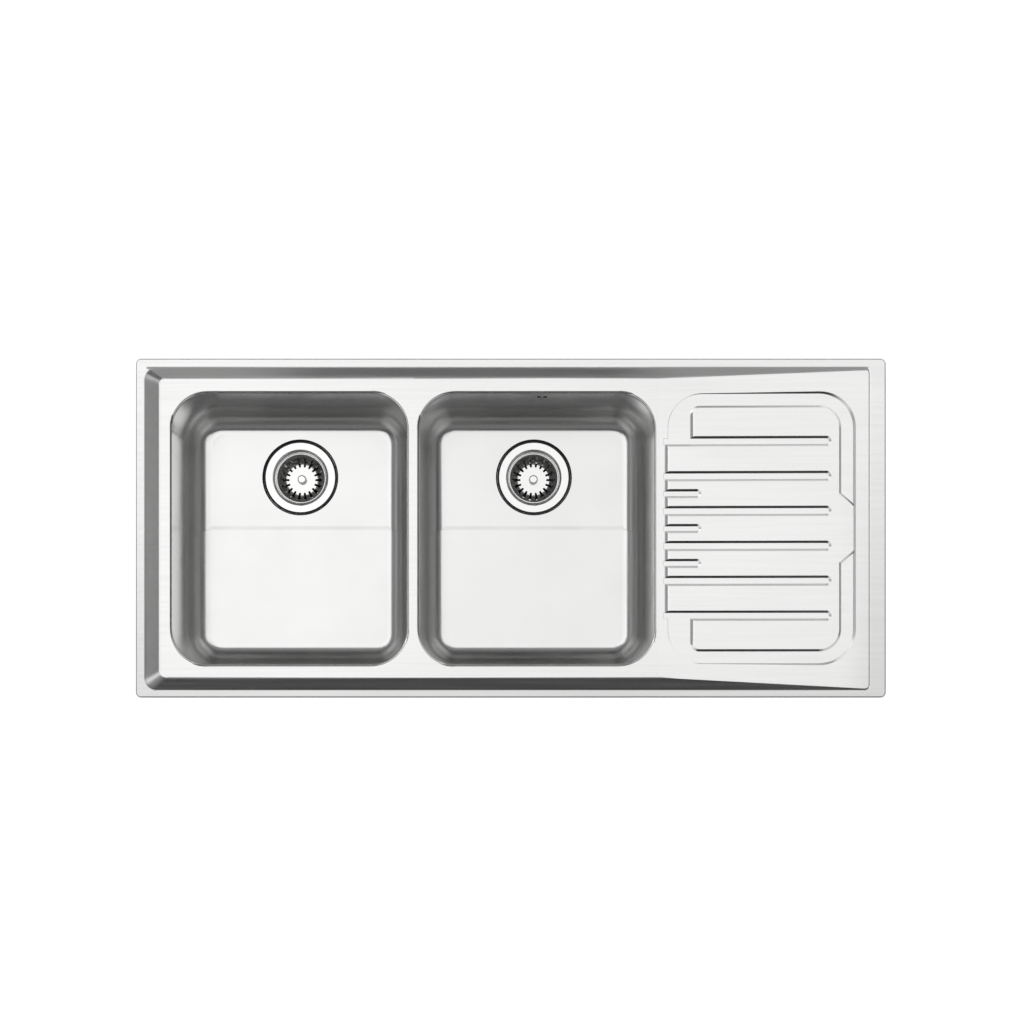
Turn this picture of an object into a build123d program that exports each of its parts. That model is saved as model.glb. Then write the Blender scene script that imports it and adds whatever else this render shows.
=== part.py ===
from build123d import *
import os
from math import cos, radians, sin, sqrt, tan

# An inset stainless kitchen sink: a pressed top with two welded bowls and a
# grooved drainer, a basket strainer in each bowl, and clips that hold it in a
# worktop. Millimetres. The worktop's surface is z = 0, +X runs towards the
# drainer, +Y towards the back, and the origin is the middle of the outline.

# Outline, sheet and rim edge
sink_length = 1150.0
sink_width = 520.0
sheet = 1.0
rim_height = 3.0
rim_corner = 8.0
rim_edge_round = 2.0

# Flat rim, from the outer edge to the step
rim_left = 12.5
rim_right = 24.5
rim_back = 14.5
rim_front = 11.5
recess_left_corner = 18.0
recess_right_corner = 6.0

# Step from the rim down to the deck, with its run on each side
deck_drop = 11.0
step_left = 23.0
step_right = 16.0
step_back = 12.5
step_front = 19.5
well_corner = 12.0
step_foot_round = 8.0
step_brow_round = 5.0

# Bowls, measured between their inside walls at deck level
bowl_length = 362.5
bowl_corner = 56.0
bowl_side_margin = 17.5
bowl_front_margin = 20.0
bowl_back_margin = 24.0
bowl_web = 18.5
bowl_depth = 180.0
bowl_draft = 3.0
bowl_floor_round = 31.0
floor_step = 0.7
floor_step_slope = 50.0
floor_step_inset = 85.0
floor_step_run = 5.5
mouth_round = 4.0
neck_depth = 6.0

# Drainer: a ramp, a moat round a raised pad, and grooves in the pad
drainer_margin = 15.5
drainer_end_margin = 25.0
ramp_lead = 8.0
ramp_rise = 9.8
channel_rise = 6.1
pad_inset = 20.0
pad_height = 2.8
pad_corner = 34.0
pad_notch_length = 39.0
pad_notch_corner = 14.0
land_end_round = 13.0
moat_width = 18.0
moat_lead = 5.0
groove_lead = 2.0
bridge_width = 71.0
wall_slope = 52.0
groove_count = 6
outer_land = 55.0
groove_width = 8.7
groove_end_margin = 19.0
short_groove_count = 3
short_groove_length = 52.0
short_groove_width = 7.0

# Drain in each bowl floor
drain_inset = 108.0
drain_recess_radius = 62.0
drain_seat_radius = 60.0
drain_recess_depth = 3.5
drain_hole_radius = 45.0

# Strainer cup
flange_radius = 56.5
flange_gasket_thickness = 1.5
flange_gasket_gap = 0.2
cup_wall = 1.0
cup_radius = 42.0
cup_lip_round = 4.5
cup_ledge_depth = 12.0
cup_well_radius = 40.2
cup_floor_radius = 36.5
cup_depth = 50.0
cup_hole_count = 8
cup_hole_radius = 4.5
cup_hole_circle = 17.0

# Basket with its knob, stem and stopper
basket_wall = 0.8
basket_rim_radius = 41.3
basket_rim_thickness = 2.4
basket_rim_round = 1.1
basket_gap = 0.6
basket_foot_radius = 28.5
basket_bend = 5.0
basket_depth = 22.0
slot_count = 18
slot_inner_radius = 21.0
slot_outer_radius = 36.0
slot_width = 3.6
knob_radius = 7.0
knob_thickness = 6.0
knob_height = 11.0
knob_neck_radius = 4.0
stem_collar_radius = 6.0
stem_collar_thickness = 2.0
stem_radius = 3.0
stem_clearance = 0.08
stem_reach = 12.0
stopper_top_radius = 18.0
stopper_radius = 30.0
stopper_wall = 3.0
stopper_web = 1.6

# Clamp bolt and plastic waste pot
bolt_radius = 5.0
bolt_head_radius = 8.0
bolt_head_height = 3.0
bolt_length = 24.0
bolt_clearance = 0.05
bolt_bore_spare = 3.0
body_gasket_thickness = 3.0
body_gasket_inner_radius = 47.0
body_gasket_outer_radius = 56.0
pot_flange_radius = 57.0
pot_flange_thickness = 4.0
pot_radius = 50.0
pot_wall = 3.0
pot_depth = 58.0
pot_cone_depth = 14.0
outlet_radius = 23.9
outlet_wall = 3.4
outlet_length = 24.0
boss_radius = 9.0
boss_height = 15.0
boss_gap = 3.0
boss_rib_count = 3
boss_rib_thickness = 4.0
inlet_radius = 10.0
inlet_bore_radius = 7.5
inlet_length = 25.0
inlet_collar_radius = 12.5
inlet_collar_length = 5.0
inlet_below_flange = 27.0
cap_wall = 2.0
cap_length = 14.0

# Overflow behind the right bowl's back wall
overflow_side = 9.0
overflow_below_deck = 28.0
overflow_slot_width = 5.5
overflow_slot_height = 11.0
overflow_slot_pitch = 9.5
overflow_gasket_thickness = 1.5
overflow_seal_radius = 21.0
overflow_bore_radius = 15.0
overflow_flange_radius = 24.0
overflow_flange_thickness = 3.0
overflow_body_radius = 18.0
overflow_body_depth = 23.0
overflow_back_wall = 2.5
overflow_ear_radius = 7.0
spigot_drop = 54.0
spigot_collar_radius = 11.2
spigot_collar_drop = 28.0
stud_spread = 30.0
stud_radius = 2.0
stud_length = 11.0
stud_clearance = 0.05
ear_hole_clearance = 0.3
nut_across = 7.0
nut_height = 3.2

# Rim seal and sound pads
seal_width = 7.5
seal_gap = 0.3
sound_pad_side_margin = 61.0
sound_pad_front_margin = 57.0
sound_pad_step_gap = 8.0
sound_pad_corner = 20.0
sound_pad_thickness = 2.0

# Fixing clips
clip_from_bowl_middle = 120.0
clip_offset = 18.0
clip_end_offset = 11.5
clip_width = 16.0
bracket_gauge = 2.0
bracket_reach = 10.0
bracket_tab = 12.0
bracket_lug = 18.0
bracket_low = 36.0
clip_screw_radius = 2.5
clip_screw_clearance = 0.06
clip_screw_length = 33.0
screw_head_across = 8.0
screw_head_height = 4.0
screw_washer_radius = 6.0
screw_washer_height = 1.0
claw_gauge = 2.0
claw_low = 66.0
claw_heel = 8.0
claw_foot = 14.0
claw_rise = 12.0
claw_reach = 37.0
claw_tooth = 4.0

# Levels
deck_top = rim_height - deck_drop
neck_bottom = deck_top - neck_depth
floor_top = rim_height - bowl_depth
seat_top = floor_top - drain_recess_depth
flange_top = seat_top + flange_gasket_thickness + cup_wall
ledge_top = flange_top - cup_ledge_depth
cup_floor = flange_top - cup_depth
pot_top = seat_top - sheet - body_gasket_thickness

# Plan of the recess, the bowls and the drainer
recess_left = rim_left - sink_length / 2
recess_right = sink_length / 2 - rim_right
recess_front = rim_front - sink_width / 2
recess_back = sink_width / 2 - rim_back
well_left = recess_left + step_left
well_right = recess_right - step_right
well_front = recess_front + step_front
well_back = recess_back - step_back
left_bowl_x = well_left + bowl_side_margin + bowl_length / 2
right_bowl_x = left_bowl_x + bowl_length + bowl_web
bowl_places = (("left", left_bowl_x), ("right", right_bowl_x))
bowl_front = well_front + bowl_front_margin
bowl_back = well_back - bowl_back_margin
bowl_width = bowl_back - bowl_front
bowl_y = (bowl_front + bowl_back) / 2
drain_y = bowl_back - drain_inset
floor_step_y = drain_y - floor_step_inset
pad_left = right_bowl_x + bowl_length / 2 + drainer_margin
ramp_left = pad_left - ramp_lead
moat_right = recess_right - drainer_end_margin
pad_length = moat_right - moat_width - pad_left
pad_width = bowl_width - 2 * pad_inset
groove_pitch = (pad_width - 2 * outer_land) / (groove_count - 1)
ramp_slope = ramp_rise / (recess_right - ramp_left)
channel_slope = channel_rise / (moat_right - pad_left)


def deck_level(x):
    """Height of the deck, or of the ramp that runs up to the right."""
    return deck_top + max(0.0, x - ramp_left) * ramp_slope


def rounded_box(left, right, front, back, corner, mode=Mode.ADD):
    """Rounded rectangle between four sides."""
    with Locations(((left + right) / 2, (front + back) / 2)):
        RectangleRounded(right - left, back - front, corner, mode=mode)


def flat_bowl(centre_x, grow, floor):
    """Space over a flat floor, with drafted walls, grown by the sheet for a bowl's outside."""
    with BuildPart() as space:
        with BuildSketch(Plane.XY.offset(floor - grow)):
            with Locations((centre_x, bowl_y)):
                RectangleRounded(bowl_length + 2 * grow, bowl_width + 2 * grow, bowl_corner + grow)
        extrude(amount=deck_top - floor + grow)
        draft(space.faces().filter_by(Axis.Z, reverse=True), Plane.XY.offset(deck_top), -bowl_draft)
        fillet(space.faces().sort_by(Axis.Z)[0].edges(), bowl_floor_round + grow)
    return space.part


def bowl_hollow(centre_x, grow):
    """Space of a bowl: the front of its floor stands one low step above the back."""
    lean = radians(floor_step_slope)
    low = floor_top - grow
    step_head = floor_step_y - floor_step / tan(lean)
    step_face = Plane((centre_x, floor_step_y, low), (1, 0, 0), (0, sin(lean), cos(lean)))
    with BuildPart() as hollow:
        add(flat_bowl(centre_x, grow, floor_top))
        split(bisect_by=step_face, keep=Keep.TOP)
        add(flat_bowl(centre_x, grow, floor_top + floor_step))
        with BuildSketch(Plane.YZ.offset(centre_x)):
            with BuildLine():
                Polyline(
                    (step_head, low + floor_step),
                    (floor_step_y + floor_step_run, low),
                    (step_head, low - floor_step),
                    close=True,
                )
            make_face()
        extrude(amount=bowl_length, both=True, mode=Mode.SUBTRACT)
    return hollow.part


def well_space(layer):
    """Space above the step, the deck and the ramp, lowered by layer."""
    below = deck_top - deck_drop
    with BuildPart() as space:
        with BuildSketch(Plane.XY.offset(rim_height - layer)) as brow_line:
            with Locations(((recess_left + recess_right) / 2, (recess_front + recess_back) / 2)):
                Rectangle(recess_right - recess_left, recess_back - recess_front)
            fillet(brow_line.vertices().group_by(Axis.X)[0], recess_left_corner)
            fillet(brow_line.vertices().group_by(Axis.X)[-1], recess_right_corner)
        with BuildSketch(Plane.XY.offset(deck_top - layer)):
            rounded_box(well_left, well_right, well_front, well_back, well_corner)
        loft(ruled=True)
        fillet(space.faces().sort_by(Axis.Z)[0].edges(), step_foot_round)
        with BuildSketch(Plane.XZ):
            with BuildLine():
                Polyline(
                    (ramp_left, deck_top - layer),
                    (sink_length, deck_level(sink_length) - layer),
                    (sink_length, below),
                    (ramp_left, below),
                    close=True,
                )
            make_face()
        extrude(amount=sink_width, both=True, mode=Mode.SUBTRACT)
    return space.part


def channel_plane(layer):
    """Floor of the drainer's moat and grooves, rising gently to the right."""
    return Plane((pad_left, bowl_y, deck_top - layer), (1, 0, channel_slope), (-channel_slope, 0, 1))


def skin_body(layer, bottom):
    """Solid under the pressed skin: layer 0 is its top face, layer sheet its underside."""
    channel = channel_plane(layer)
    half_pad = pad_width / 2
    notch_edge = (groove_count - 1) / 2 * groove_pitch
    lean = tan(radians(wall_slope))
    wall_run = pad_height * lean
    end_run = sqrt(2 * land_end_round * pad_height - pad_height**2)
    end_rise = max(0.0, 2 * (lean * end_run + pad_height - land_end_round) / (lean**2 + 1))
    end_start = end_rise * lean
    with BuildPart() as body:
        with BuildSketch(Plane.XY.offset(bottom)):
            RectangleRounded(sink_length - 2 * layer, sink_width - 2 * layer, rim_corner - layer)
        extrude(amount=rim_height - layer - bottom)
        fillet(body.faces().sort_by(Axis.Z)[-1].edges(), rim_edge_round - layer)
        add(well_space(layer), mode=Mode.SUBTRACT)
        top_edges = body.edges().filter_by_position(Axis.Z, rim_height - layer, rim_height - layer)
        brow = top_edges.filter_by_position(Axis.X, recess_left, recess_right)
        fillet(brow.filter_by_position(Axis.Y, recess_front, recess_back), step_brow_round)

        # Moat pocket, then the pad that stands in it
        with BuildSketch(channel):
            rounded_box(
                moat_lead,
                pad_length + moat_width,
                -half_pad - moat_width,
                half_pad + moat_width,
                pad_corner + moat_width,
            )
        extrude(amount=deck_drop, taper=-wall_slope, mode=Mode.SUBTRACT)
        with BuildSketch(channel) as pad:
            with Locations(((pad_notch_length + pad_length) / 2, 0)):
                Rectangle(pad_length - pad_notch_length, pad_width)
            fillet(pad.vertices().group_by(Axis.X)[0], pad_notch_corner)
            fillet(pad.vertices().group_by(Axis.X)[-1], pad_corner)
            with Locations((pad_length / 4, 0)):
                Rectangle(pad_length / 2, 2 * notch_edge)
            with BuildLine():
                Polyline(
                    (pad_length - wall_run, bridge_width / 2 + moat_width + wall_run),
                    (pad_length + moat_width + wall_run, bridge_width / 2),
                    (pad_length + moat_width + wall_run, -bridge_width / 2),
                    (pad_length - wall_run, -bridge_width / 2 - moat_width - wall_run),
                    close=True,
                )
            make_face()
        extrude(amount=pad_height, taper=wall_slope)

        # Left ends of the lands, rounded over from the channel up to the pad's top
        land_ends = (
            (0, -notch_edge, 2 * notch_edge),
            (pad_notch_length, notch_edge, half_pad - notch_edge),
            (pad_notch_length, -half_pad, half_pad - notch_edge),
        )
        for start, land_front, land_width in land_ends:
            end_view = Plane(
                channel.from_local_coords((start, land_front, 0)), x_dir=channel.x_dir, z_dir=channel.y_dir
            )
            with BuildSketch(end_view):
                with BuildLine():
                    Polyline(
                        (end_run, -pad_height),
                        (end_run, -2 * pad_height),
                        (end_start, -2 * pad_height),
                        (end_start, -end_rise),
                    )
                    RadiusArc((end_start, -end_rise), (end_run, -pad_height), -land_end_round)
                make_face()
            extrude(amount=land_width, mode=Mode.SUBTRACT)

        # Long grooves end round on the right; short ones start the lands between
        with BuildSketch(channel):
            long_run = pad_length - groove_end_margin - groove_width / 2
            with GridLocations(0, groove_pitch, 1, groove_count):
                with Locations(((long_run - groove_lead) / 2, 0)):
                    Rectangle(long_run + groove_lead, groove_width)
                with Locations((long_run, 0)):
                    Circle(groove_width / 2)
            short_run = short_groove_length - short_groove_width / 2
            with GridLocations(0, groove_pitch, 1, short_groove_count):
                with Locations(((short_run - groove_lead) / 2, 0)):
                    Rectangle(short_run + groove_lead, short_groove_width)
                with Locations((short_run, 0)):
                    Circle(short_groove_width / 2)
        extrude(amount=pad_height, taper=-wall_slope, mode=Mode.SUBTRACT)

        # Bowl openings with their rolled mouths
        for side, bowl_x in bowl_places:
            add(bowl_hollow(bowl_x, layer), mode=Mode.SUBTRACT)
        rim_of_bowls = body.edges().filter_by_position(Axis.Z, deck_top - layer, deck_top - layer)
        mouths = rim_of_bowls.filter_by_position(
            Axis.X, left_bowl_x - bowl_length / 2 - sheet, right_bowl_x + bowl_length / 2 + sheet
        ).filter_by_position(Axis.Y, bowl_front - sheet, bowl_back + sheet)
        fillet(mouths, mouth_round - layer)
    return body.part


os.makedirs("parts", exist_ok=True)

# Deck panel: one pressed sheet with a turned-down rim edge and two bowl necks
with BuildPart() as deck_panel:
    add(skin_body(0, neck_bottom))
    add(skin_body(sheet, neck_bottom - sheet), mode=Mode.SUBTRACT)
    with BuildSketch(Plane.XY):
        Rectangle(sink_length + sheet, sink_width + sheet)
        rounded_box(
            recess_left, recess_right, recess_front, recess_back, recess_right_corner, Mode.SUBTRACT
        )
    extrude(amount=neck_bottom - sheet, mode=Mode.SUBTRACT)
deck_panel.part.label = "deck_panel"
export_step(deck_panel.part, "parts/deck_panel.step")

# Bowls: deep drawn, with a sunk seat for the waste in each floor
overflow_x = right_bowl_x + overflow_side
overflow_z = deck_top - overflow_below_deck
overflow_y = bowl_back + sheet - overflow_below_deck * tan(radians(bowl_draft))
overflow_face = Plane(
    (overflow_x, overflow_y, overflow_z),
    x_dir=(-1, 0, 0),
    z_dir=(0, cos(radians(bowl_draft)), -sin(radians(bowl_draft))),
)
for side, bowl_x in bowl_places:
    with BuildPart() as bowl:
        add(bowl_hollow(bowl_x, sheet))
        with Locations((bowl_x, drain_y, seat_top - sheet)):
            Cone(
                drain_seat_radius + sheet,
                drain_recess_radius + sheet,
                drain_recess_depth,
                align=(Align.CENTER, Align.CENTER, Align.MIN),
            )
        add(bowl_hollow(bowl_x, 0), mode=Mode.SUBTRACT)
        with Locations((bowl_x, drain_y, seat_top)):
            Cone(
                drain_seat_radius,
                drain_recess_radius,
                drain_recess_depth,
                align=(Align.CENTER, Align.CENTER, Align.MIN),
                mode=Mode.SUBTRACT,
            )
        with BuildSketch(Plane.XY.offset(seat_top)):
            with Locations((bowl_x, drain_y)):
                Circle(drain_hole_radius)
        extrude(amount=-2 * sheet, mode=Mode.SUBTRACT)
        split(bisect_by=Plane.XY.offset(neck_bottom), keep=Keep.BOTTOM)
        if side == "right":
            with BuildSketch(overflow_face):
                with GridLocations(overflow_slot_pitch, 0, 2, 1):
                    SlotOverall(overflow_slot_height, overflow_slot_width, rotation=90)
            extrude(amount=-2 * sheet, mode=Mode.SUBTRACT)
    bowl.part.label = f"{side}_bowl"
    export_step(bowl.part, f"parts/{side}_bowl.step")

    # Damping pad glued to the underside of the floor, in front of the waste
    with BuildPart() as sound_pad:
        with BuildSketch(Plane.XY.offset(floor_top + floor_step - sheet)):
            rounded_box(
                bowl_x - bowl_length / 2 + sound_pad_side_margin,
                bowl_x + bowl_length / 2 - sound_pad_side_margin,
                bowl_front + sound_pad_front_margin,
                floor_step_y - sound_pad_step_gap,
                sound_pad_corner,
            )
        extrude(amount=-sound_pad_thickness)
    sound_pad.part.label = f"{side}_sound_pad"
    export_step(sound_pad.part, f"parts/{side}_sound_pad.step")

# Rim seal: four foam strips under the rim, inside its turned-down edge
seal_edge = rim_edge_round + seal_gap
with BuildPart() as rim_seal:
    with BuildSketch(Plane.XY):
        for end in (1, -1):
            with Locations((0, end * (sink_width / 2 - seal_edge - seal_width / 2))):
                Rectangle(sink_length - 2 * seal_edge - 2 * rim_corner, seal_width)
    extrude(amount=rim_height - sheet)
    with BuildSketch(Plane.XY):
        for end in (1, -1):
            with Locations((end * (sink_length / 2 - seal_edge - seal_width / 2), 0)):
                Rectangle(seal_width, sink_width - 2 * seal_edge - 2 * seal_width - 2 * seal_gap)
    extrude(amount=rim_height - sheet)
rim_seal.part.label = "rim_seal"
export_step(rim_seal.part, "parts/rim_seal.step")

# Waste in each bowl
stem_end = cup_floor + bolt_head_height - stem_reach
basket_floor = ledge_top - basket_depth
basket_mouth_radius = cup_well_radius - basket_gap
for side, bowl_x in bowl_places:
    drain = Plane((bowl_x, drain_y, 0), x_dir=(1, 0, 0), z_dir=(0, -1, 0))
    drain_axis = Axis((bowl_x, drain_y, 0), (0, 0, 1))
    drain_floor = Plane((bowl_x, drain_y, 0))

    # Strainer cup: flange, rolled lip, ledge for the basket and a pierced floor
    lip_radius = cup_radius + cup_lip_round
    lip_z = flange_top - cup_lip_round
    with BuildPart() as cup:
        with BuildSketch(drain):
            with BuildLine():
                Polyline(
                    (lip_radius, flange_top - cup_wall),
                    (flange_radius, flange_top - cup_wall),
                    (flange_radius, flange_top),
                    (lip_radius, flange_top),
                )
                CenterArc((lip_radius, lip_z), cup_lip_round, 90, 90)
                Polyline(
                    (cup_radius, lip_z),
                    (cup_radius, ledge_top),
                    (cup_well_radius, ledge_top),
                    (cup_floor_radius, cup_floor),
                    (bolt_radius + bolt_clearance, cup_floor),
                    (bolt_radius + bolt_clearance, cup_floor - cup_wall),
                    (cup_floor_radius + cup_wall, cup_floor - cup_wall),
                    (cup_well_radius + cup_wall, ledge_top - cup_wall),
                    (cup_radius + cup_wall, ledge_top - cup_wall),
                    (cup_radius + cup_wall, lip_z),
                )
                CenterArc((lip_radius, lip_z), cup_lip_round - cup_wall, 180, -90)
            make_face()
        revolve(axis=drain_axis)
        with BuildSketch(drain_floor.offset(cup_floor)):
            with PolarLocations(cup_hole_circle, cup_hole_count):
                Circle(cup_hole_radius)
        extrude(amount=-2 * cup_wall, mode=Mode.SUBTRACT)
    cup.part.label = f"{side}_strainer_cup"
    export_step(cup.part, f"parts/{side}_strainer_cup.step")

    # Seal between the cup's flange and the sunk seat
    with BuildPart() as flange_gasket:
        with BuildSketch(drain_floor.offset(seat_top)):
            Circle(drain_seat_radius - flange_gasket_gap)
            Circle(lip_radius, mode=Mode.SUBTRACT)
        extrude(amount=flange_gasket_thickness)
    flange_gasket.part.label = f"{side}_flange_gasket"
    export_step(flange_gasket.part, f"parts/{side}_flange_gasket.step")

    # Seal between the underside of the bowl and the pot
    with BuildPart() as body_gasket:
        with BuildSketch(drain_floor.offset(seat_top - sheet)):
            Circle(body_gasket_outer_radius)
            Circle(body_gasket_inner_radius, mode=Mode.SUBTRACT)
        extrude(amount=-body_gasket_thickness)
    body_gasket.part.label = f"{side}_body_gasket"
    export_step(body_gasket.part, f"parts/{side}_body_gasket.step")

    # Plastic pot: flange, wall, cone and outlet, a ribbed boss and an overflow inlet
    pot_floor = pot_top - pot_depth
    cone_end = pot_floor - pot_cone_depth
    outlet_end = cone_end - outlet_length
    boss_top = cup_floor - cup_wall - boss_gap
    inlet_z = pot_top - inlet_below_flange
    inlet_end = Plane(
        (bowl_x, drain_y + pot_radius + inlet_length, inlet_z), x_dir=(1, 0, 0), z_dir=(0, 1, 0)
    )
    pot_inner = pot_radius - pot_wall
    outlet_inner = outlet_radius - outlet_wall
    with BuildPart() as pot:
        with BuildSketch(drain):
            with BuildLine():
                Polyline(
                    (0, pot_top),
                    (pot_flange_radius, pot_top),
                    (pot_flange_radius, pot_top - pot_flange_thickness),
                    (pot_radius, pot_top - pot_flange_thickness),
                    (pot_radius, pot_floor),
                    (outlet_radius, cone_end),
                    (outlet_radius, outlet_end),
                    (0, outlet_end),
                    close=True,
                )
            make_face()
        revolve(axis=drain_axis)
        with BuildSketch(inlet_end):
            Circle(inlet_radius)
        extrude(amount=-inlet_length - pot_wall)
        with BuildSketch(inlet_end.offset(inlet_collar_length - inlet_length)):
            Circle(inlet_collar_radius)
        extrude(amount=-inlet_collar_length - pot_wall)
        with BuildSketch(drain):
            with BuildLine():
                Polyline(
                    (0, pot_top),
                    (pot_inner, pot_top),
                    (pot_inner, pot_floor),
                    (outlet_inner, cone_end),
                    (outlet_inner, outlet_end),
                    (0, outlet_end),
                    close=True,
                )
            make_face()
        revolve(axis=drain_axis, mode=Mode.SUBTRACT)
        with BuildSketch(inlet_end):
            Circle(inlet_bore_radius)
        extrude(amount=-inlet_length - 2 * pot_wall, mode=Mode.SUBTRACT)
        with BuildSketch(drain_floor.offset(boss_top - boss_height)):
            Circle(boss_radius)
            with PolarLocations((pot_inner + boss_radius) / 2, boss_rib_count, start_angle=-90):
                Rectangle(pot_inner - boss_radius + pot_wall, boss_rib_thickness)
            Circle(bolt_radius + bolt_clearance, mode=Mode.SUBTRACT)
        extrude(amount=boss_height)
    pot.part.label = f"{side}_waste_body"
    export_step(pot.part, f"parts/{side}_waste_body.step")

    # Hollow clamp bolt: pulls cup and pot together and guides the basket's stem
    with BuildPart() as bolt:
        with BuildSketch(drain_floor.offset(cup_floor)):
            Circle(bolt_head_radius)
        extrude(amount=bolt_head_height)
        with BuildSketch(drain_floor.offset(cup_floor)):
            Circle(bolt_radius)
        extrude(amount=-bolt_length)
        with BuildSketch(drain_floor.offset(cup_floor + bolt_head_height)):
            Circle(stem_radius + stem_clearance)
        extrude(amount=-stem_reach - bolt_bore_spare, mode=Mode.SUBTRACT)
    bolt.part.label = f"{side}_clamp_bolt"
    export_step(bolt.part, f"parts/{side}_clamp_bolt.step")

    # Slotted basket with a rolled rim that rests on the cup's ledge
    rim_top = ledge_top + basket_rim_thickness
    with BuildPart() as basket:
        with BuildSketch(drain):
            with BuildLine():
                Polyline(
                    (0, basket_floor),
                    (basket_foot_radius, basket_floor),
                    (basket_mouth_radius, ledge_top),
                    (basket_rim_radius, ledge_top),
                    (basket_rim_radius, rim_top),
                    (0, rim_top),
                    close=True,
                )
            profile = make_face()
            fillet(profile.vertices().sort_by(Axis.Y)[:2].sort_by(Axis.X)[-1], basket_bend + basket_wall)
        revolve(axis=drain_axis)
        with BuildSketch(drain):
            with BuildLine():
                Polyline(
                    (0, basket_floor + basket_wall),
                    (basket_foot_radius - basket_wall, basket_floor + basket_wall),
                    (basket_mouth_radius - basket_wall, rim_top),
                    (0, rim_top),
                    close=True,
                )
            hollow = make_face()
            fillet(hollow.vertices().sort_by(Axis.Y)[:2].sort_by(Axis.X)[-1], basket_bend)
        revolve(axis=drain_axis, mode=Mode.SUBTRACT)
        fillet(basket.edges().filter_by(GeomType.CIRCLE).group_by(Axis.Z)[-1], basket_rim_round)
        with BuildSketch(drain_floor.offset(basket_floor)):
            with PolarLocations((slot_inner_radius + slot_outer_radius) / 2, slot_count):
                SlotOverall(slot_outer_radius - slot_inner_radius, slot_width)
            Circle(stem_radius + stem_clearance)
        extrude(amount=basket_depth, mode=Mode.SUBTRACT)
    basket.part.label = f"{side}_basket"
    export_step(basket.part, f"parts/{side}_basket.step")

    # Knob, collar and stem, riveted through the basket's floor
    collar_z = basket_floor + basket_wall
    knob_top = basket_floor + basket_wall + knob_height
    with BuildPart() as stem:
        with BuildSketch(drain):
            with BuildLine():
                Polyline(
                    (0, stem_end),
                    (stem_radius, stem_end),
                    (stem_radius, collar_z),
                    (stem_collar_radius, collar_z),
                    (stem_collar_radius, collar_z + stem_collar_thickness),
                    (knob_neck_radius, collar_z + stem_collar_thickness),
                    (knob_neck_radius, knob_top - knob_thickness),
                    (knob_radius, knob_top - knob_thickness),
                    (knob_radius, knob_top),
                    (0, knob_top),
                    close=True,
                )
            make_face()
        revolve(axis=drain_axis)
        fillet(stem.edges().group_by(Axis.Z)[-1], knob_thickness / 3)
    stem.part.label = f"{side}_basket_stem"
    export_step(stem.part, f"parts/{side}_basket_stem.step")

    # Rubber bell under the basket that closes over the pierced floor
    with BuildPart() as stopper:
        with BuildSketch(drain):
            with BuildLine():
                Polyline(
                    (stem_radius + stem_clearance, basket_floor - stopper_web),
                    (stopper_top_radius - stopper_wall, basket_floor - stopper_web),
                    (stopper_radius - stopper_wall, cup_floor),
                    (stopper_radius, cup_floor),
                    (stopper_top_radius, basket_floor),
                    (stem_radius + stem_clearance, basket_floor),
                    close=True,
                )
            make_face()
        revolve(axis=drain_axis)
    stopper.part.label = f"{side}_stopper_seal"
    export_step(stopper.part, f"parts/{side}_stopper_seal.step")

    # Cap on the overflow inlet of the bowl that has no overflow
    if side == "left":
        with BuildPart() as blanking_cap:
            with BuildSketch(inlet_end.offset(cap_wall)):
                Circle(inlet_radius + stud_clearance + cap_wall)
            extrude(amount=-cap_length - cap_wall)
            with BuildSketch(inlet_end):
                Circle(inlet_radius + stud_clearance)
            extrude(amount=-cap_length, mode=Mode.SUBTRACT)
        blanking_cap.part.label = "left_blanking_cap"
        export_step(blanking_cap.part, "parts/left_blanking_cap.step")

# Overflow drain on the outside of the right bowl's back wall
with BuildPart() as overflow_gasket:
    with BuildSketch(overflow_face):
        Circle(overflow_seal_radius)
        Circle(overflow_bore_radius, mode=Mode.SUBTRACT)
    extrude(amount=overflow_gasket_thickness)
overflow_gasket.part.label = "overflow_gasket"
export_step(overflow_gasket.part, "parts/overflow_gasket.step")

housing_face = overflow_face.offset(overflow_gasket_thickness)
spigot_centre = (overflow_x, overflow_y + overflow_gasket_thickness + overflow_body_depth / 2)
with BuildPart() as overflow_housing:
    with BuildSketch(housing_face):
        Circle(overflow_flange_radius)
        SlotOverall(2 * (stud_spread + overflow_ear_radius), 2 * overflow_ear_radius)
    extrude(amount=overflow_flange_thickness)
    with BuildSketch(housing_face):
        Circle(overflow_body_radius)
    extrude(amount=overflow_body_depth)
    with BuildSketch(Plane.XY.offset(overflow_z - spigot_drop)):
        with Locations(spigot_centre):
            Circle(inlet_radius)
    extrude(amount=spigot_drop)
    with BuildSketch(Plane.XY.offset(overflow_z - spigot_collar_drop)):
        with Locations(spigot_centre):
            Circle(spigot_collar_radius)
    extrude(amount=spigot_collar_drop)
    with BuildSketch(housing_face):
        Circle(overflow_bore_radius)
    extrude(amount=overflow_body_depth - overflow_back_wall, mode=Mode.SUBTRACT)
    with BuildSketch(Plane.XY.offset(overflow_z - spigot_drop)):
        with Locations(spigot_centre):
            Circle(inlet_bore_radius)
    extrude(amount=spigot_drop, mode=Mode.SUBTRACT)
    with BuildSketch(housing_face):
        with GridLocations(2 * stud_spread, 0, 2, 1):
            Circle(stud_radius + ear_hole_clearance)
    extrude(amount=overflow_flange_thickness, mode=Mode.SUBTRACT)
overflow_housing.part.label = "overflow_housing"
export_step(overflow_housing.part, "parts/overflow_housing.step")

with BuildPart() as overflow_studs:
    with BuildSketch(overflow_face):
        with GridLocations(2 * stud_spread, 0, 2, 1):
            Circle(stud_radius)
    extrude(amount=stud_length)
overflow_studs.part.label = "overflow_studs"
export_step(overflow_studs.part, "parts/overflow_studs.step")

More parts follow.
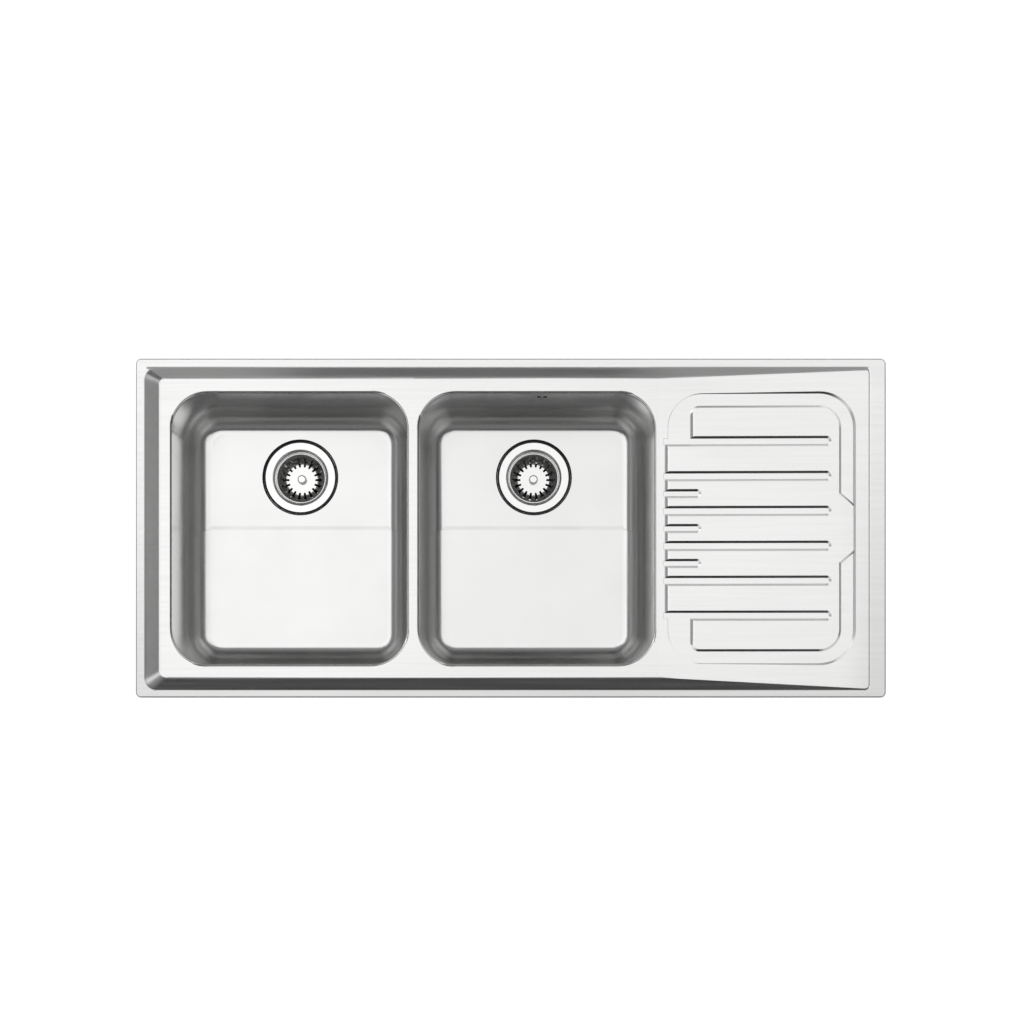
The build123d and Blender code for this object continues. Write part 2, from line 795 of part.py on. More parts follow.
with BuildPart() as overflow_nuts:
    with BuildSketch(housing_face.offset(overflow_flange_thickness)):
        with GridLocations(2 * stud_spread, 0, 2, 1):
            RegularPolygon(nut_across / 2, 6, major_radius=False)
            Circle(stud_radius + stud_clearance, mode=Mode.SUBTRACT)
    extrude(amount=nut_height)
overflow_nuts.part.label = "overflow_nuts"
export_step(overflow_nuts.part, "parts/overflow_nuts.step")

# Clips: local x runs along the edge, local y points out over the worktop
left_end_x = left_bowl_x - bowl_length / 2 - clip_offset
right_end_x = recess_right - clip_end_offset
web_x = (left_bowl_x + right_bowl_x) / 2
clip_columns = (left_bowl_x - clip_from_bowl_middle, web_x, pad_left + pad_length / 2)
clip_places = [Plane((x, bowl_front - clip_offset, 0), x_dir=(-1, 0, 0)) for x in clip_columns]
clip_places += [Plane((x, bowl_back + clip_offset, 0), x_dir=(1, 0, 0)) for x in clip_columns]
clip_places.append(Plane((left_end_x, bowl_y, 0), x_dir=(0, 1, 0)))
clip_places.append(Plane((right_end_x, bowl_y, 0), x_dir=(0, -1, 0)))

# Brackets welded under the deck, each with a tapped lug for its screw
with BuildPart() as clip_brackets:
    for place in clip_places:
        tab_low = deck_level(place.origin.X) - sheet - bracket_gauge
        side_view = Plane(place.origin, x_dir=place.y_dir, z_dir=place.x_dir)
        with BuildSketch(side_view):
            with BuildLine():
                Polyline(
                    (-bracket_reach, rim_height),
                    (bracket_tab - bracket_reach, rim_height),
                    (bracket_tab - bracket_reach, tab_low),
                    (bracket_gauge - bracket_reach, tab_low),
                    (bracket_gauge - bracket_reach, bracket_gauge - bracket_low),
                    (bracket_lug - bracket_reach, bracket_gauge - bracket_low),
                    (bracket_lug - bracket_reach, -bracket_low),
                    (-bracket_reach, -bracket_low),
                    close=True,
                )
            make_face()
        extrude(amount=clip_width / 2, both=True)
        with BuildSketch(place.offset(-bracket_low)):
            Circle(clip_screw_radius + clip_screw_clearance)
        extrude(amount=bracket_gauge, mode=Mode.SUBTRACT)
    add(skin_body(sheet, -2 * bracket_low), mode=Mode.INTERSECT)
clip_brackets.part.label = "clip_brackets"
export_step(clip_brackets.part, "parts/clip_brackets.step")

for number, place in enumerate(clip_places, 1):
    # Screw: its washer head carries the claw, its shank runs up through the lug
    with BuildPart() as clip_screw:
        with BuildSketch(place.offset(-claw_low)):
            Circle(clip_screw_radius)
        extrude(amount=clip_screw_length)
        with BuildSketch(place.offset(-claw_low)):
            Circle(screw_washer_radius)
        extrude(amount=-screw_washer_height)
        with BuildSketch(place.offset(-claw_low - screw_washer_height)):
            RegularPolygon(screw_head_across / 2, 6, major_radius=False)
        extrude(amount=-screw_head_height)
    clip_screw.part.label = f"clip_screw_{number}"
    export_step(clip_screw.part, f"parts/clip_screw_{number}.step")

    # Claw: a cranked strip with a tooth, stowed along the edge
    with BuildPart() as clip_claw:
        with BuildSketch(Plane(place.origin, x_dir=place.x_dir, z_dir=-place.y_dir)):
            with BuildLine():
                Polyline(
                    (-claw_heel, -claw_low),
                    (claw_foot, -claw_low),
                    (claw_foot, claw_rise - claw_low),
                    (claw_reach, claw_rise - claw_low),
                    (claw_reach, claw_rise + claw_gauge + claw_tooth - claw_low),
                    (claw_reach - claw_gauge, claw_rise + claw_gauge + claw_tooth - claw_low),
                    (claw_reach - claw_gauge, claw_rise + claw_gauge - claw_low),
                    (claw_foot - claw_gauge, claw_rise + claw_gauge - claw_low),
                    (claw_foot - claw_gauge, claw_gauge - claw_low),
                    (-claw_heel, claw_gauge - claw_low),
                    close=True,
                )
            make_face()
        extrude(amount=clip_width / 2, both=True)
        with BuildSketch(place.offset(-claw_low)):
            Circle(clip_screw_radius + clip_screw_clearance)
        extrude(amount=claw_gauge, mode=Mode.SUBTRACT)
    clip_claw.part.label = f"clip_claw_{number}"
    export_step(clip_claw.part, f"parts/clip_claw_{number}.step")
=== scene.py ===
import math

import bpy
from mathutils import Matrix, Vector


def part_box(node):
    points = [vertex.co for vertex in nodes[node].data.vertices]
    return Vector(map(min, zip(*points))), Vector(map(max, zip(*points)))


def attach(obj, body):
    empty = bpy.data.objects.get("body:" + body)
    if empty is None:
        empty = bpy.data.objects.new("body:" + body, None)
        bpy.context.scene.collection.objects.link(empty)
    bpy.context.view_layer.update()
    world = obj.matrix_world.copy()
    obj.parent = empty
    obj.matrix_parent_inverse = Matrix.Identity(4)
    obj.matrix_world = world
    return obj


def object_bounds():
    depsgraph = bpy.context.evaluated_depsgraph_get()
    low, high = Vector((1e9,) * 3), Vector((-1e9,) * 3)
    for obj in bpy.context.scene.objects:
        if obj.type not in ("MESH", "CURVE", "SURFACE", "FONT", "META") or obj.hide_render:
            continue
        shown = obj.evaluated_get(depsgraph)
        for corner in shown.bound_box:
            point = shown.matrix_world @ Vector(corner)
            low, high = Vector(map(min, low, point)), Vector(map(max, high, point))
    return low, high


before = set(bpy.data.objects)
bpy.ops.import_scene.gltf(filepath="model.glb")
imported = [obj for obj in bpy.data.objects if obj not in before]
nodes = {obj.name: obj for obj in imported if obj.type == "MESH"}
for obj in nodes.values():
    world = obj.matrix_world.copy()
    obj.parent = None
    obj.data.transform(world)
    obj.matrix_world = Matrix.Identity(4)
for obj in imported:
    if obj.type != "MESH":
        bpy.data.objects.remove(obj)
cad_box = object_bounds()
both_sides = ("left", "right")

# The two bowls are deep drawn from stainless sheet and welded under the top's openings.
# Drawing stretches the skin, so their satin is fine and even, with cloudy patches left by
# the polishing wheel. The wheel can't reach the round at the floor, which stays duller.


def finish_node(node_name, finish):
    """Puts one finish on a CAD node in place of the plain one it came with."""
    mesh = nodes[node_name].data
    mesh.materials.clear()
    mesh.materials.append(finish)


def new_finish(name, colour, metallic, roughness):
    """A principled finish and its shader, ready for detail nodes."""
    finish = bpy.data.materials.new(name)
    finish.use_nodes = True
    finish.diffuse_color = (*colour, 1)
    shader = finish.node_tree.nodes["Principled BSDF"]
    shader.inputs["Base Color"].default_value = (*colour, 1)
    shader.inputs["Metallic"].default_value = metallic
    shader.inputs["Roughness"].default_value = roughness
    return finish, shader


def grain(finish, scale, detail=3.0, stretch=(1, 1, 1)):
    """Noise on Object coordinates, stretched along the way the surface was worked."""
    tree = finish.node_tree
    place = tree.nodes.new("ShaderNodeTexCoord")
    turn = tree.nodes.new("ShaderNodeMapping")
    turn.inputs["Scale"].default_value = stretch
    noise = tree.nodes.new("ShaderNodeTexNoise")
    noise.inputs["Scale"].default_value = scale
    noise.inputs["Detail"].default_value = detail
    tree.links.new(place.outputs["Object"], turn.inputs["Vector"])
    tree.links.new(turn.outputs["Vector"], noise.inputs["Vector"])
    return noise.outputs["Fac"]


def spread(finish, value, low, high):
    """Maps a noise's middle range to a range of the socket that it drives."""
    ramp = finish.node_tree.nodes.new("ShaderNodeMapRange")
    ramp.inputs["From Min"].default_value = 0.3
    ramp.inputs["From Max"].default_value = 0.7
    ramp.inputs["To Min"].default_value = low
    ramp.inputs["To Max"].default_value = high
    finish.node_tree.links.new(value, ramp.inputs["Value"])
    return ramp.outputs["Result"]


def tint(finish, shader, value, dark, light):
    """Lets a noise drift the base colour between two close shades."""
    mix = finish.node_tree.nodes.new("ShaderNodeMix")
    mix.data_type = "RGBA"
    mix.inputs["A"].default_value = (*dark, 1)
    mix.inputs["B"].default_value = (*light, 1)
    finish.node_tree.links.new(value, mix.inputs["Factor"])
    finish.node_tree.links.new(mix.outputs["Result"], shader.inputs["Base Color"])


def band(finish, direction, low, high):
    """0 below the low place along a direction of the object and 1 past the high one."""
    tree = finish.node_tree
    place = tree.nodes.new("ShaderNodeTexCoord")
    along = tree.nodes.new("ShaderNodeVectorMath")
    along.operation = "DOT_PRODUCT"
    along.inputs[1].default_value = direction
    step = tree.nodes.new("ShaderNodeMapRange")
    step.interpolation_type = "SMOOTHSTEP"
    step.inputs["From Min"].default_value = low
    step.inputs["From Max"].default_value = high
    tree.links.new(place.outputs["Object"], along.inputs[0])
    tree.links.new(along.outputs["Value"], step.inputs["Value"])
    return step.outputs["Result"]


def between(finish, direction, start, stop, blur):
    """1 between two places along a direction of the object, and 0 outside them."""
    zone = finish.node_tree.nodes.new("ShaderNodeMath")
    zone.operation = "SUBTRACT"
    finish.node_tree.links.new(band(finish, direction, start, start + blur), zone.inputs[0])
    finish.node_tree.links.new(band(finish, direction, stop, stop + blur), zone.inputs[1])
    return zone.outputs["Value"]


def shade(finish, shader, socket, part, share):
    """Takes what drives a socket to a share of itself where the part's value is 1."""
    tree = finish.node_tree
    level = tree.nodes.new("ShaderNodeMapRange")
    level.inputs["To Min"].default_value = 1.0
    level.inputs["To Max"].default_value = share
    tree.links.new(part, level.inputs["Value"])
    scale = tree.nodes.new("ShaderNodeVectorMath")
    scale.operation = "SCALE"
    tree.links.new(shader.inputs[socket].links[0].from_socket, scale.inputs["Vector"])
    tree.links.new(level.outputs["Result"], scale.inputs["Scale"])
    tree.links.new(scale.outputs["Vector"], shader.inputs[socket])


along_x = (1, 0, 0)
upward = (0, 0, 1)
drawn_steel_dark = (0.71, 0.71, 0.705)
drawn_steel_light = (0.77, 0.77, 0.765)
floor_round_foot = -0.1765
floor_round_head = -0.136
floor_round_blur = 0.006
floor_round_dulling = 2.2
drawn_steel, shader = new_finish("drawn_steel", drawn_steel_light, metallic=1.0, roughness=0.17)
clouds = grain(drawn_steel, scale=9.0, detail=2.0)
tint(drawn_steel, shader, clouds, drawn_steel_dark, drawn_steel_light)
drawn_rough = spread(drawn_steel, grain(drawn_steel, scale=14.0, detail=2.0), low=0.15, high=0.19)
drawn_steel.node_tree.links.new(drawn_rough, shader.inputs["Roughness"])
floor_round = between(drawn_steel, upward, floor_round_foot, floor_round_head, floor_round_blur)
shade(drawn_steel, shader, "Roughness", floor_round, floor_round_dulling)
for side in both_sides:
    finish_node(f"{side}_bowl", drawn_steel)

# The top is one pressed stainless sheet: rim, step, deck and drainer in one piece.
# It is brushed along its length, so a fine grain runs left to right. The belt dulls the
# back step, most near its ends. The rim is painted a little darker toward the front: painted shade.


def overlap(finish, first, second):
    """1 where both zones are 1."""
    both = finish.node_tree.nodes.new("ShaderNodeMath")
    both.operation = "MULTIPLY"
    finish.node_tree.links.new(first, both.inputs[0])
    finish.node_tree.links.new(second, both.inputs[1])
    return both.outputs["Value"]


def relief(finish, shader, value, depth, strength):
    """Raises the surface a little by a noise, so that light breaks on it."""
    bump = finish.node_tree.nodes.new("ShaderNodeBump")
    bump.inputs["Strength"].default_value = strength
    bump.inputs["Distance"].default_value = depth
    finish.node_tree.links.new(value, bump.inputs["Height"])
    finish.node_tree.links.new(bump.outputs["Normal"], shader.inputs["Normal"])


brushed_steel_dark = (0.76, 0.76, 0.755)
brushed_steel_light = (0.82, 0.82, 0.815)
step_run = 12.5
step_drop = 11
step_across = (0, 1, -step_run / step_drop)
step_dulling = 3.6
step_middle_share = 0.49
rim_front_painted_shade = 0.84
brushed_steel, shader = new_finish("brushed_steel", brushed_steel_light, metallic=1.0, roughness=0.22)
clouds = grain(brushed_steel, scale=7.0, detail=2.0, stretch=(0.6, 1.0, 1.0))
tint(brushed_steel, shader, clouds, brushed_steel_dark, brushed_steel_light)
brush_lines = grain(brushed_steel, scale=240.0, detail=3.0, stretch=(0.02, 1.0, 1.0))
brushed_rough = spread(brushed_steel, brush_lines, low=0.20, high=0.24)
brushed_steel.node_tree.links.new(brushed_rough, shader.inputs["Roughness"])
back_slope = between(brushed_steel, step_across, start=0.2395, stop=0.2428, blur=0.0015)
step_length = between(brushed_steel, along_x, start=-0.559, stop=0.546, blur=0.003)
back_step = overlap(brushed_steel, back_slope, step_length)
shade(brushed_steel, shader, "Roughness", back_step, step_dulling)
step_middle = between(brushed_steel, along_x, start=-0.49, stop=0.14, blur=0.21)
shade(brushed_steel, shader, "Roughness", overlap(brushed_steel, back_step, step_middle), step_middle_share)
relief(brushed_steel, shader, brush_lines, depth=0.000004, strength=0.3)
# Painted shade: the rim's colour is taken down toward the front edge.
rim_zone = band(brushed_steel, upward, low=0.0, high=0.0025)
front_painted_shade_ramp = band(brushed_steel, (0, -1, 0), low=-0.25, high=0.25)
shade(brushed_steel, shader, "Base Color", overlap(brushed_steel, rim_zone, front_painted_shade_ramp), rim_front_painted_shade)
finish_node("deck_panel", brushed_steel)

# Each bowl carries a bituminous pad under its floor that takes the drumming out of the
# sheet. The pad is stuck on warm, and its face is dull and slightly pebbled.

pad_black = (0.035, 0.035, 0.037)
pad_grey = (0.075, 0.075, 0.078)
damping_pad, shader = new_finish("damping_pad", pad_grey, metallic=0.0, roughness=0.85)
pebbles = grain(damping_pad, scale=420.0, detail=2.0)
tint(damping_pad, shader, grain(damping_pad, scale=35.0), pad_black, pad_grey)
relief(damping_pad, shader, pebbles, depth=0.0006, strength=0.7)
for side in both_sides:
    finish_node(f"{side}_sound_pad", damping_pad)

# A closed-cell foam strip runs under the rim and seals it to the worktop.
# It comes on a roll and is cut into four lengths.

foam_dark = (0.05, 0.05, 0.053)
foam_light = (0.10, 0.10, 0.105)
sealing_foam, shader = new_finish("sealing_foam", foam_light, metallic=0.0, roughness=0.9)
cells = grain(sealing_foam, scale=1500.0, detail=1.0)
tint(sealing_foam, shader, cells, foam_dark, foam_light)
relief(sealing_foam, shader, cells, depth=0.0003, strength=0.6)
finish_node("rim_seal", sealing_foam)

# Brackets, screws, claws, studs and nuts are steel with a bright zinc plate. The plate
# is laid on in a bath, and comes out a little blue and patchy.

zinc_dull = (0.50, 0.52, 0.55)
zinc_bright = (0.68, 0.70, 0.73)
zinc_plate, shader = new_finish("zinc_plate", zinc_bright, metallic=1.0, roughness=0.34)
patches = grain(zinc_plate, scale=130.0, detail=4.0)
tint(zinc_plate, shader, patches, zinc_dull, zinc_bright)
zinc_rough = spread(zinc_plate, grain(zinc_plate, scale=300.0, detail=3.0), low=0.26, high=0.44)
zinc_plate.node_tree.links.new(zinc_rough, shader.inputs["Roughness"])
clip_numbers = range(1, 9)
zinc_nodes = ["clip_brackets", "overflow_studs", "overflow_nuts"]
zinc_nodes += [f"clip_screw_{number}" for number in clip_numbers]
zinc_nodes += [f"clip_claw_{number}" for number in clip_numbers]
for node_name in zinc_nodes:
    finish_node(node_name, zinc_plate)

# Strainer cups, stems and clamp bolts are stainless, pressed or turned and then buffed
# brighter than the sink around them. Buffing leaves a thin haze.

buffed_dark = (0.78, 0.78, 0.775)
buffed_light = (0.85, 0.85, 0.845)
buffed_steel, shader = new_finish("buffed_steel", buffed_light, metallic=1.0, roughness=0.15)
haze = grain(buffed_steel, scale=60.0, detail=3.0)
tint(buffed_steel, shader, haze, buffed_dark, buffed_light)
buffed_rough = spread(buffed_steel, grain(buffed_steel, scale=500.0, detail=2.0), low=0.11, high=0.20)
buffed_steel.node_tree.links.new(buffed_rough, shader.inputs["Roughness"])
for side in both_sides:
    for piece in ("strainer_cup", "basket_stem", "clamp_bolt"):
        finish_node(f"{side}_{piece}", buffed_steel)

# Each basket is drawn and punched from thinner sheet. Its cone, between the floor and the rolled rim,
# is painted darker than the floor and rim: painted shade inside the basket.

basket_low, basket_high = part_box("left_basket")
basket_floor = basket_low.z + 0.0015
basket_rim = basket_high.z - 0.0009
cone_blur = 0.0006
cone_painted_shade_share = 0.5
punched_steel, shader = new_finish("punched_steel", buffed_light, metallic=1.0, roughness=0.2)
haze = grain(punched_steel, scale=60.0, detail=3.0)
tint(punched_steel, shader, haze, buffed_dark, buffed_light)
# Painted shade: the cone's colour is taken down to a share of the steel's.
painted_shade_cone = between(punched_steel, upward, basket_floor, basket_rim, cone_blur)
shade(punched_steel, shader, "Base Color", painted_shade_cone, cone_painted_shade_share)
for side in both_sides:
    finish_node(f"{side}_basket", punched_steel)

# The gaskets of the wastes and the overflow, and the bell under each basket, are moulded
# black rubber. They are squeezed between their neighbours, and bloom a little with age.

rubber_black = (0.018, 0.018, 0.019)
rubber_grey = (0.035, 0.035, 0.036)
black_rubber, shader = new_finish("black_rubber", rubber_grey, metallic=0.0, roughness=0.6)
bloom = grain(black_rubber, scale=90.0, detail=3.0)
tint(black_rubber, shader, bloom, rubber_black, rubber_grey)
mould_skin = grain(black_rubber, scale=900.0, detail=2.0)
relief(black_rubber, shader, mould_skin, depth=0.0001, strength=0.4)
finish_node("overflow_gasket", black_rubber)
for side in both_sides:
    for piece in ("stopper_seal", "flange_gasket", "body_gasket"):
        finish_node(f"{side}_{piece}", black_rubber)

# Waste pots, the blanking cap and the overflow drain are moulded white polypropylene
# with a fine spark-eroded texture.

plastic_shade = (0.74, 0.74, 0.72)
plastic_white = (0.83, 0.83, 0.81)
waste_plastic, shader = new_finish("waste_plastic", plastic_white, metallic=0.0, roughness=0.42)
flow = grain(waste_plastic, scale=25.0, detail=2.0)
tint(waste_plastic, shader, flow, plastic_shade, plastic_white)
spark_texture = grain(waste_plastic, scale=1800.0, detail=1.0)
relief(waste_plastic, shader, spark_texture, depth=0.00008, strength=0.5)
for node_name in ("left_waste_body", "right_waste_body", "left_blanking_cap", "overflow_housing"):
    finish_node(node_name, waste_plastic)

# Each outlet ends in a G 1 1/2 thread for the trap's union nut, moulded with the pot in
# the same plastic. Its ridge winds up the tube from just above the mouth.


def wind_thread(name, centre, radius, ridge, pitch, turns, steps):
    """A three-sided ridge wound upwards round a core at the given radius."""
    half = 2 * ridge
    bpy.ops.object.select_all(action="DESELECT")
    bpy.ops.mesh.primitive_circle_add(
        vertices=3, radius=half, location=centre, rotation=(math.pi / 2, math.pi / 2, 0)
    )
    thread = bpy.context.object
    thread.name = name
    bpy.ops.object.transform_apply(location=False, rotation=True, scale=True)
    bpy.ops.object.mode_set(mode="EDIT")
    bpy.ops.mesh.select_all(action="SELECT")
    bpy.ops.transform.translate(value=(radius + ridge - half, 0, 0))
    bpy.ops.object.mode_set(mode="OBJECT")
    winding = thread.modifiers.new("winding", "SCREW")
    winding.axis = "Z"
    winding.screw_offset = pitch
    winding.iterations = turns
    winding.steps = steps
    winding.render_steps = steps
    winding.use_smooth_shade = False
    bpy.ops.object.modifier_apply(modifier="winding")
    bpy.ops.object.mode_set(mode="EDIT")
    bpy.ops.mesh.select_all(action="SELECT")
    bpy.ops.mesh.remove_doubles(threshold=0.000001)
    bpy.ops.mesh.fill_holes(sides=3)
    bpy.ops.mesh.normals_make_consistent(inside=False)
    bpy.ops.object.mode_set(mode="OBJECT")
    bpy.ops.object.shade_smooth_by_angle(angle=math.radians(30))
    bpy.ops.object.transform_apply(location=True, rotation=True, scale=True)
    return thread


outlet_radius = 0.0239
outlet_ridge = 0.0009
outlet_pitch = 0.002309
outlet_turns = 7
outlet_lead_in = 0.0022
for side in both_sides:
    pot_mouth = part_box(f"{side}_waste_body")[0][2]
    seal_low, seal_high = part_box(f"{side}_stopper_seal")
    thread_start = (
        (seal_low[0] + seal_high[0]) / 2,
        (seal_low[1] + seal_high[1]) / 2,
        pot_mouth + outlet_lead_in,
    )
    thread_name = f"{side}_outlet_thread"
    thread = wind_thread(
        thread_name, thread_start, outlet_radius, outlet_ridge, outlet_pitch, outlet_turns, steps=64
    )
    thread.data.materials.append(waste_plastic)
    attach(thread, "sink")

# The clip screws are M5 steel, zinc plated, with a thread rolled from the washer to the
# tip. One thread is wound and copied, and each copy rides on its own screw.

screw_radius = 0.0025
screw_ridge = 0.00025
screw_pitch = 0.0008
screw_head = 0.0056
screw_low, screw_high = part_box("clip_screw_1")
screw_turns = int((screw_high.z - screw_low.z - screw_head) / screw_pitch) - 1
screw_foot = (
    (screw_low.x + screw_high.x) / 2,
    (screw_low.y + screw_high.y) / 2,
    screw_low.z + screw_head,
)
first_thread = wind_thread(
    "clip_screw_thread_1", screw_foot, screw_radius, screw_ridge, screw_pitch, screw_turns, steps=20
)
first_thread.data.materials.append(zinc_plate)
screw_threads = [first_thread]
for number in clip_numbers[1:]:
    bpy.ops.object.select_all(action="DESELECT")
    first_thread.select_set(True)
    bpy.context.view_layer.objects.active = first_thread
    bpy.ops.object.duplicate()
    thread = bpy.context.object
    thread.name = f"clip_screw_thread_{number}"
    bpy.ops.transform.translate(value=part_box(f"clip_screw_{number}")[0] - screw_low)
    bpy.ops.object.transform_apply(location=True, rotation=False, scale=False)
    screw_threads.append(thread)
for number, thread in zip(clip_numbers, screw_threads):
    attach(thread, f"clip_screw_{number}")

# Each bowl is seam welded to the neck of its opening. The bead is left as it was laid on
# the underside, a low ripple that follows the bowl's rounded outline.


def lay_seam(name, low, high, corner, bead):
    """A round bead along the top edge of a box with rounded corners."""
    middle = ((low.x + high.x) / 2, (low.y + high.y) / 2, high.z)
    bpy.ops.object.select_all(action="DESELECT")
    bpy.ops.mesh.primitive_plane_add(size=1, location=middle)
    bpy.ops.transform.resize(value=(high.x - low.x, high.y - low.y, 1))
    bpy.ops.object.transform_apply(location=True, rotation=True, scale=True)
    bpy.ops.object.mode_set(mode="EDIT")
    bpy.ops.mesh.select_all(action="SELECT")
    bpy.ops.mesh.bevel(offset=corner, segments=16, affect="VERTICES")
    bpy.ops.mesh.delete(type="ONLY_FACE")
    bpy.ops.object.mode_set(mode="OBJECT")
    bpy.ops.object.convert(target="CURVE")
    seam = bpy.context.object
    seam.name = name
    seam.data.bevel_depth = bead
    seam.data.bevel_resolution = 2
    bpy.ops.object.convert(target="MESH")
    seam = bpy.context.object
    bpy.ops.object.mode_set(mode="EDIT")
    bpy.ops.mesh.select_all(action="SELECT")
    bpy.ops.mesh.remove_doubles(threshold=0.000001)
    bpy.ops.mesh.normals_make_consistent(inside=False)
    bpy.ops.object.mode_set(mode="OBJECT")
    bpy.ops.object.shade_smooth()
    return seam


weld_dull = (0.36, 0.35, 0.33)
weld_bright = (0.62, 0.61, 0.59)
bowl_outside_corner = 0.057
bead_radius = 0.0010
weld_bead, shader = new_finish("weld_bead", weld_bright, metallic=1.0, roughness=0.4)
tint(weld_bead, shader, grain(weld_bead, scale=90.0, detail=2.0), weld_dull, weld_bright)
relief(weld_bead, shader, grain(weld_bead, scale=700.0, detail=1.0), depth=0.0004, strength=0.8)
for side in both_sides:
    seam = lay_seam(f"{side}_weld_seam", *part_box(f"{side}_bowl"), bowl_outside_corner, bead_radius)
    seam.data.materials.append(weld_bead)
    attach(seam, "sink")

# A plain pale floor lies just under the outlets. It reads as white, also where the steel
# mirrors it, and keeps the sink's soft shadow.

floor_size = 30.0
floor_gap = 0.0005
floor_level = cad_box[0].z - floor_gap
floor_white = (0.92, 0.92, 0.92)
floor_lift_seen = 0.75
floor_lift_mirrored = 0.25
bpy.ops.object.select_all(action="DESELECT")
bpy.ops.mesh.primitive_plane_add(size=floor_size, location=(0, 0, floor_level))
floor = bpy.context.object
floor.name = "floor"
floor_finish, shader = new_finish("floor_white", floor_white, metallic=0.0, roughness=0.8)
shader.inputs["Specular IOR Level"].default_value = 0.0
floor_tree = floor_finish.node_tree
seen = floor_tree.nodes.new("ShaderNodeLightPath")
mirrored = floor_tree.nodes.new("ShaderNodeMath")
mirrored.operation = "MULTIPLY"
mirrored.inputs[1].default_value = floor_lift_mirrored
floor_tree.links.new(seen.outputs["Is Glossy Ray"], mirrored.inputs[0])
lift = floor_tree.nodes.new("ShaderNodeMath")
lift.operation = "MULTIPLY_ADD"
lift.inputs[1].default_value = floor_lift_seen
floor_tree.links.new(seen.outputs["Is Camera Ray"], lift.inputs[0])
floor_tree.links.new(mirrored.outputs["Value"], lift.inputs[2])
shader.inputs["Emission Color"].default_value = (1, 1, 1, 1)
floor_tree.links.new(lift.outputs["Value"], shader.inputs["Emission Strength"])
floor.data.materials.append(floor_finish)

# One wide soft panel hangs over the sink, above the camera, and the room is dim round it.
# The back and the left are paler than the front and the right, and four tall windows
# stand in the corners.

panel_left = -1.75
panel_right = 1.85
panel_front = -0.75
panel_back = 1.45
panel_height = 3.4
panel_radiance = 0.99
panel_fade = (-0.9, 0.2)
panel_right_share = 0.86
panel_light = bpy.data.lights.new("overhead_panel", "AREA")
panel_light.shape = "RECTANGLE"
panel_light.size = panel_right - panel_left
panel_light.size_y = panel_back - panel_front
panel_light.energy = panel_radiance * math.pi * panel_light.size * panel_light.size_y
panel_light.use_nodes = True
panel_tree = panel_light.node_tree
panel_point = panel_tree.nodes.new("ShaderNodeNewGeometry")
panel_axes = panel_tree.nodes.new("ShaderNodeSeparateXYZ")
panel_ramp = panel_tree.nodes.new("ShaderNodeMapRange")
panel_ramp.interpolation_type = "SMOOTHSTEP"
panel_ramp.inputs["From Min"].default_value = panel_fade[0]
panel_ramp.inputs["From Max"].default_value = panel_fade[1]
panel_ramp.inputs["To Min"].default_value = 1.0
panel_ramp.inputs["To Max"].default_value = panel_right_share
panel_tree.links.new(panel_point.outputs["Position"], panel_axes.inputs["Vector"])
panel_tree.links.new(panel_axes.outputs["X"], panel_ramp.inputs["Value"])
panel_tree.links.new(panel_ramp.outputs["Result"], panel_tree.nodes["Emission"].inputs["Strength"])
panel = bpy.data.objects.new("overhead_panel", panel_light)
panel.location = ((panel_left + panel_right) / 2, (panel_front + panel_back) / 2, panel_height)
bpy.context.scene.collection.objects.link(panel)

room = bpy.data.worlds.new("room")
bpy.context.scene.world = room
room.use_nodes = True
room_tree = room.node_tree
where = room_tree.nodes.new("ShaderNodeTexCoord")


def room_ramp(direction, start, stop, low, high):
    """Brightness that changes from low to high along one direction of the room."""
    along = room_tree.nodes.new("ShaderNodeVectorMath")
    along.operation = "DOT_PRODUCT"
    along.inputs[1].default_value = direction
    room_tree.links.new(where.outputs["Generated"], along.inputs[0])
    ramp = room_tree.nodes.new("ShaderNodeMapRange")
    ramp.interpolation_type = "SMOOTHSTEP"
    ramp.inputs["From Min"].default_value = start
    ramp.inputs["From Max"].default_value = stop
    ramp.inputs["To Min"].default_value = low
    ramp.inputs["To Max"].default_value = high
    room_tree.links.new(along.outputs["Value"], ramp.inputs["Value"])
    return ramp.outputs["Result"]


def room_sum(operation, first, second):
    """Two brightnesses of the room, joined by one operation."""
    both = room_tree.nodes.new("ShaderNodeMath")
    both.operation = operation
    room_tree.links.new(first, both.inputs[0])
    room_tree.links.new(second, both.inputs[1])
    return both.outputs["Value"]


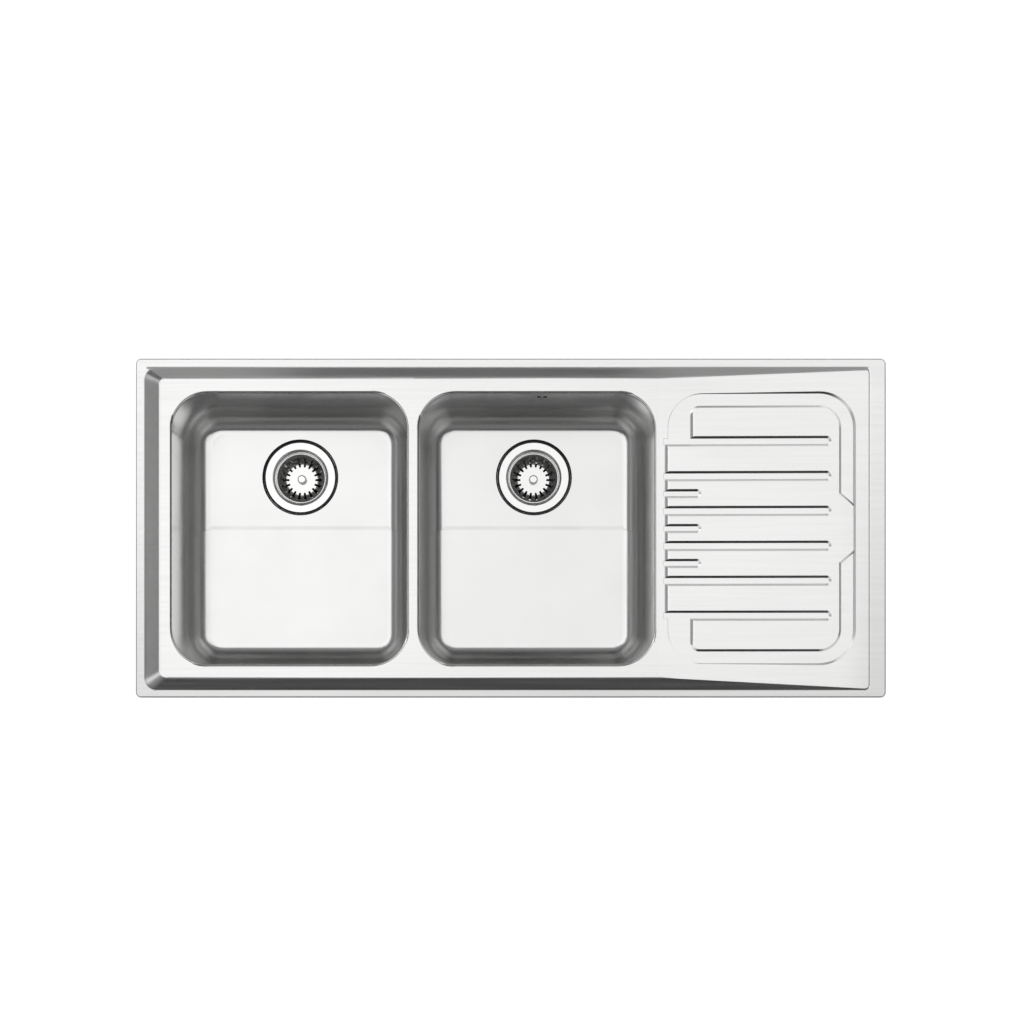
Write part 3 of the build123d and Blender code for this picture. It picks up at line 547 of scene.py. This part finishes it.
ceiling = room_ramp(upward, start=0.45, stop=0.95, low=0.02, high=0.30)
back_share = room_ramp((0, 1, 0), start=-0.35, stop=0.10, low=0.25, high=1.0)
horizon = room_ramp(upward, start=0.12, stop=0.40, low=1.0, high=0.0)
pale_side = room_ramp((-0.45, 0.9, 0), start=-0.2, stop=0.7, low=0.02, high=0.75)
front_wall = room_ramp((0, -1, 0), start=0.30, stop=0.65, low=0.0, high=0.16)
front_height = room_ramp(upward, start=0.40, stop=0.62, low=0.0, high=1.0)
left_wall = room_ramp((-1, 0, 0), start=0.55, stop=0.90, low=0.0, high=0.42)
left_height = room_ramp(upward, start=0.62, stop=0.82, low=1.0, high=0.0)
room_level = room_sum("MULTIPLY", ceiling, back_share)
room_level = room_sum("ADD", room_level, room_sum("MULTIPLY", horizon, pale_side))
room_level = room_sum("ADD", room_level, room_sum("MULTIPLY", front_wall, front_height))
room_level = room_sum("ADD", room_level, room_sum("MULTIPLY", left_wall, left_height))
windows = ((0.707, 0.707, 0), (-0.707, 0.707, 0), (-0.707, -0.707, 0), (0.707, -0.707, 0))
for window in windows:
    window_glow = room_ramp(window, start=0.80, stop=0.90, low=0.0, high=0.75)
    room_level = room_sum("ADD", room_level, window_glow)
room_sight = room_tree.nodes.new("ShaderNodeLightPath")
room_level = room_sum("MAXIMUM", room_level, room_sight.outputs["Is Camera Ray"])
backdrop = room_tree.nodes["Background"]
backdrop.inputs["Color"].default_value = (1, 1, 1, 1)
room_tree.links.new(room_level, backdrop.inputs["Strength"])

# The camera looks straight down from over the sink's front edge. The lens is shifted so
# that the whole sink stays in the middle of the square picture.

image_size = 1024
sensor = 36.0
pixels_per_metre = 652.6
sink_centre_pixel = (510.75, 528.0)
foot_pixel = (485.0, 715.0)
camera_height = 2.79
rim_top = cad_box[1].z
camera_data = bpy.data.cameras.new("camera")
camera_data.sensor_width = sensor
camera_data.lens = pixels_per_metre * camera_height / image_size * sensor
camera_data.shift_x = 0.5 - foot_pixel[0] / image_size
camera_data.shift_y = foot_pixel[1] / image_size - 0.5
camera = bpy.data.objects.new("camera", camera_data)
camera.location = (
    (foot_pixel[0] - sink_centre_pixel[0]) / pixels_per_metre,
    (sink_centre_pixel[1] - foot_pixel[1]) / pixels_per_metre,
    rim_top + camera_height,
)
bpy.context.scene.collection.objects.link(camera)
bpy.context.scene.camera = camera
bpy.context.scene.view_settings.view_transform = "Standard"
